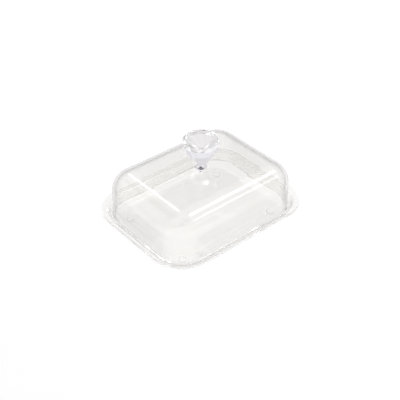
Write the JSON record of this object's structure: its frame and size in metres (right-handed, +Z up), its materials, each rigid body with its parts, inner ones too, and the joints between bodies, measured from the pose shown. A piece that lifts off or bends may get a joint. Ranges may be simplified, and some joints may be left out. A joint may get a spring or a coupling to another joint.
{
  "type": "butter dish",
  "caption": "Clear plastic butter dish: a shallow flanged tray on small round feet, with a lift-off domed lid carried by a faceted knob.",
  "frame": {"origin": "centre of the tray in plan, on the plane that the feet stand on", "axes": "+X along the long side of the tray, +Y along the short side, +Z up through the knob"},
  "size_m": [0.165, 0.133, 0.0867],
  "materials": {
    "clear_tray": "clear polished acrylic",
    "clear_lid": "clear polished acrylic",
    "clear_knob": "clear cut-look acrylic",
    "screw_steel": "plain stainless"
  },
  "bodies": {
    "base": {"tray": "clear_tray"},
    "cover": {"lid": "clear_lid", "knob": "clear_knob", "knob_screw": "screw_steel"}
  },
  "joints": [
    {"name": "lid_lift", "type": "slide", "parent": "base", "child": "cover", "axis": [0, 0, 1], "range_m": [0, 0.1]}
  ]
}
